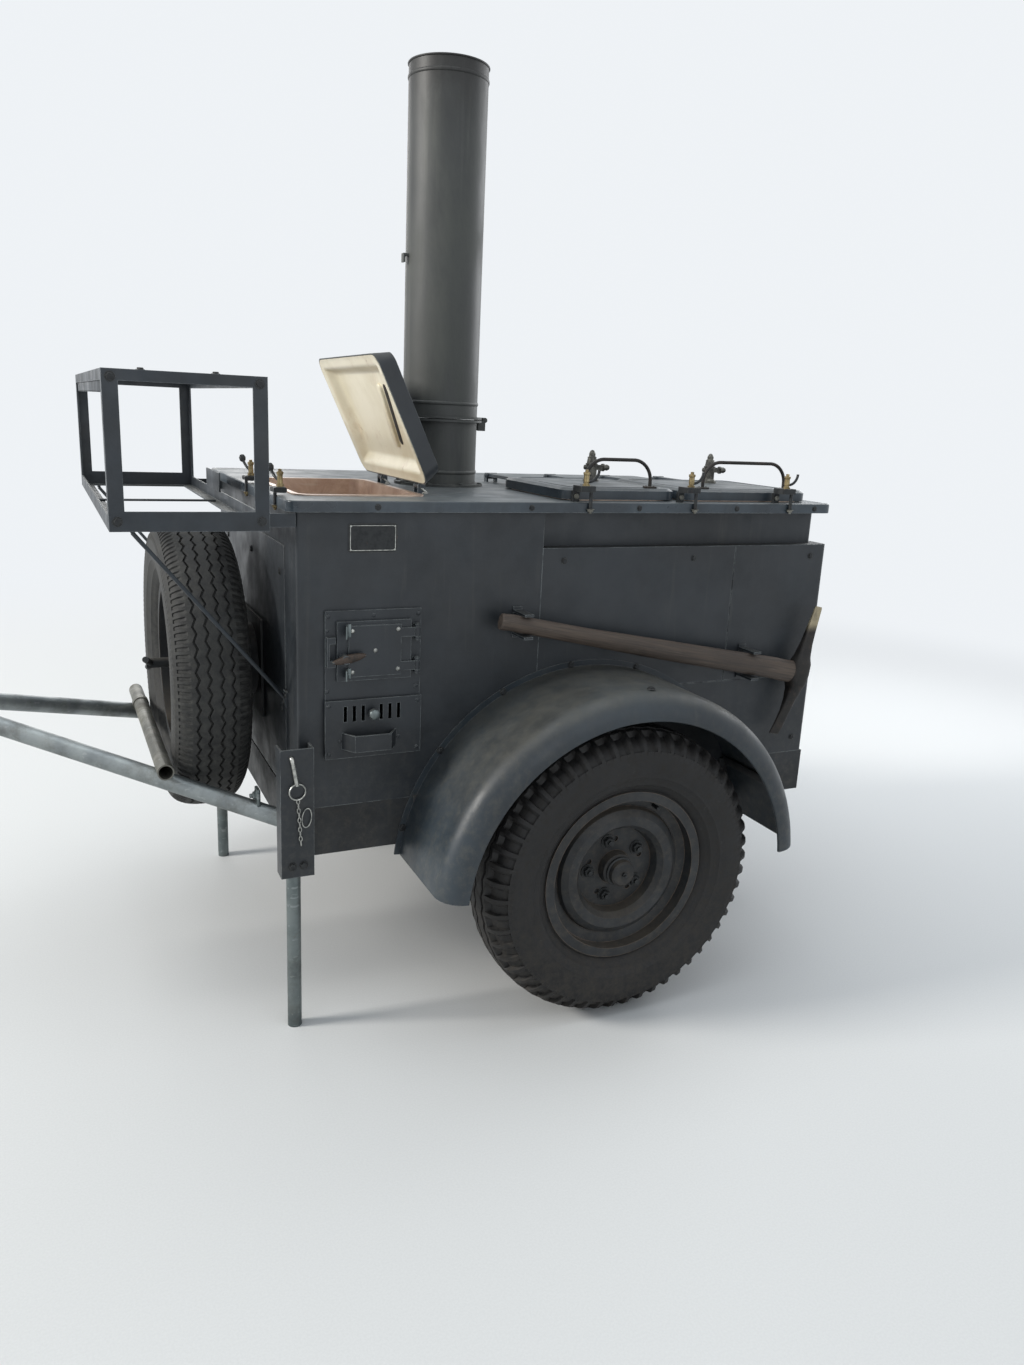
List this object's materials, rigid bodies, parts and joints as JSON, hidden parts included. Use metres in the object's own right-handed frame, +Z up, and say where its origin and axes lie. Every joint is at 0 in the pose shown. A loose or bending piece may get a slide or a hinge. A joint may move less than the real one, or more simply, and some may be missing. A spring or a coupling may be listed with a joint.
{
  "type": "military field kitchen trailer",
  "caption": "Two-wheeled field kitchen trailer with hinged kettle and roasting pan lids, fire doors, a folding chimney, drop legs, drawbar, rack and spare wheel.",
  "frame": {"origin": "on the ground, under the middle of the bounding box", "axes": "+X forward to the towing eye, +Y to the left, +Z up"},
  "size_m": [2.891, 1.6, 2.33],
  "materials": {
    "body_paint": "worn matt paint with dust and scratches",
    "fender_paint": "satin paint with dust",
    "stove_pipe": "matt heat-proof paint, sooty",
    "wheel_paint": "matt paint, muddy",
    "tyre_rubber": "dusty black rubber",
    "running_gear": "painted forging, dirty",
    "galvanised": "dull galvanised steel",
    "cream_enamel": "cream enamel, greasy",
    "pan_steel": "browned pan steel",
    "fire_iron": "sooty cast iron",
    "cast_fittings": "dull grey castings",
    "tool_wood": "weathered grey ash wood",
    "plate_metal": "blank stamped plate"
  },
  "bodies": {
    "chassis": {"chassis_frame": "body_paint", "axle_beam": "running_gear", "leaf_springs": "running_gear", "fender_left": "fender_paint", "fender_right": "fender_paint", "fire_section": "body_paint", "front_firebox": "fire_iron", "kettle_casing": "body_paint", "kettle_jacket": "body_paint", "rear_firebox": "fire_iron", "roasting_pan": "pan_steel", "kettle_front": "pan_steel", "kettle_rear": "pan_steel", "top_plate": "body_paint", "chimney_stub": "stove_pipe", "door_frame_front": "body_paint", "door_frame_rear": "body_paint", "information_plate": "plate_metal", "stand_channels": "body_paint", "tow_pole": "running_gear", "drawbar_left": "galvanised", "drawbar_right": "galvanised", "drawbar_cross_tube": "galvanised", "spare_tyre": "tyre_rubber", "spare_rim": "wheel_paint", "spare_carrier": "wheel_paint", "rack_frame": "body_paint", "pick_handle": "tool_wood", "pick_head": "running_gear", "pick_brackets": "body_paint", "lid_clamps": "cast_fittings"},
    "wheel_left": {"tyre_left": "tyre_rubber", "rim_left": "wheel_paint", "hub_left": "wheel_paint"},
    "wheel_right": {"tyre_right": "tyre_rubber", "rim_right": "wheel_paint", "hub_right": "wheel_paint"},
    "chimney": {"chimney_pipe": "stove_pipe"},
    "pan_cover": {"pan_lid": "body_paint", "pan_lid_liner": "cream_enamel"},
    "kettle_cover_front": {"kettle_lid_front": "body_paint", "lid_fittings_front": "cast_fittings", "relief_valve_front": "cast_fittings"},
    "kettle_cover_rear": {"kettle_lid_rear": "body_paint", "lid_fittings_rear": "cast_fittings", "relief_valve_rear": "cast_fittings"},
    "fire_door_body": {"fire_door": "body_paint"},
    "ash_drawer_body": {"ash_drawer": "body_paint"},
    "rear_fire_door_body": {"rear_fire_door": "body_paint"},
    "rear_ash_door_body": {"rear_ash_door": "body_paint"},
    "leg_left": {"stand_leg_left": "galvanised"},
    "leg_right": {"stand_leg_right": "galvanised"}
  },
  "joints": [
    {"name": "wheel_left_turn", "type": "hinge", "parent": "chassis", "child": "wheel_left", "pos_m": [-0.666, 0.687, 0.38], "axis": [0, 1, 0], "continuous": true},
    {"name": "wheel_right_turn", "type": "hinge", "parent": "chassis", "child": "wheel_right", "pos_m": [-0.666, -0.687, 0.38], "axis": [0, 1, 0], "continuous": true},
    {"name": "chimney_fold", "type": "hinge", "parent": "chassis", "child": "chimney", "pos_m": [-0.549, 0, 1.459], "axis": [0, -1, 0], "range_deg": [0, 90]},
    {"name": "pan_lid_close", "type": "hinge", "parent": "chassis", "child": "pan_cover", "pos_m": [-0.262, 0.15, 1.298], "axis": [0, 1, 0], "range_deg": [-25, 65]},
    {"name": "kettle_lid_front_hinge", "type": "hinge", "parent": "chassis", "child": "kettle_cover_front", "pos_m": [-0.742, -0.125, 1.297], "axis": [-1, 0, 0], "range_deg": [-100, 0]},
    {"name": "kettle_lid_rear_hinge", "type": "hinge", "parent": "chassis", "child": "kettle_cover_rear", "pos_m": [-1.136, -0.125, 1.297], "axis": [-1, 0, 0], "range_deg": [-100, 0]},
    {"name": "fire_door_hinge", "type": "hinge", "parent": "chassis", "child": "fire_door_body", "pos_m": [-0.188, 0.517, 0.9365], "axis": [0, 0, -1], "range_deg": [-115, 0]},
    {"name": "ash_drawer_slide", "type": "slide", "parent": "chassis", "child": "ash_drawer_body", "axis": [0, -1, 0], "range_m": [-0.26, 0]},
    {"name": "rear_fire_door_hinge", "type": "hinge", "parent": "chassis", "child": "rear_fire_door_body", "pos_m": [-1.427, 0.045, 0.842], "axis": [0, 0, -1], "range_deg": [-110, 0]},
    {"name": "rear_ash_door_hinge", "type": "hinge", "parent": "chassis", "child": "rear_ash_door_body", "pos_m": [-1.427, 0.045, 0.689], "axis": [0, 0, -1], "range_deg": [-110, 0]},
    {"name": "leg_left_slide", "type": "slide", "parent": "chassis", "child": "leg_left", "axis": [0, 0, 1], "range_m": [0, 0.28]},
    {"name": "leg_right_slide", "type": "slide", "parent": "chassis", "child": "leg_right", "axis": [0, 0, 1], "range_m": [0, 0.28]}
  ]
}
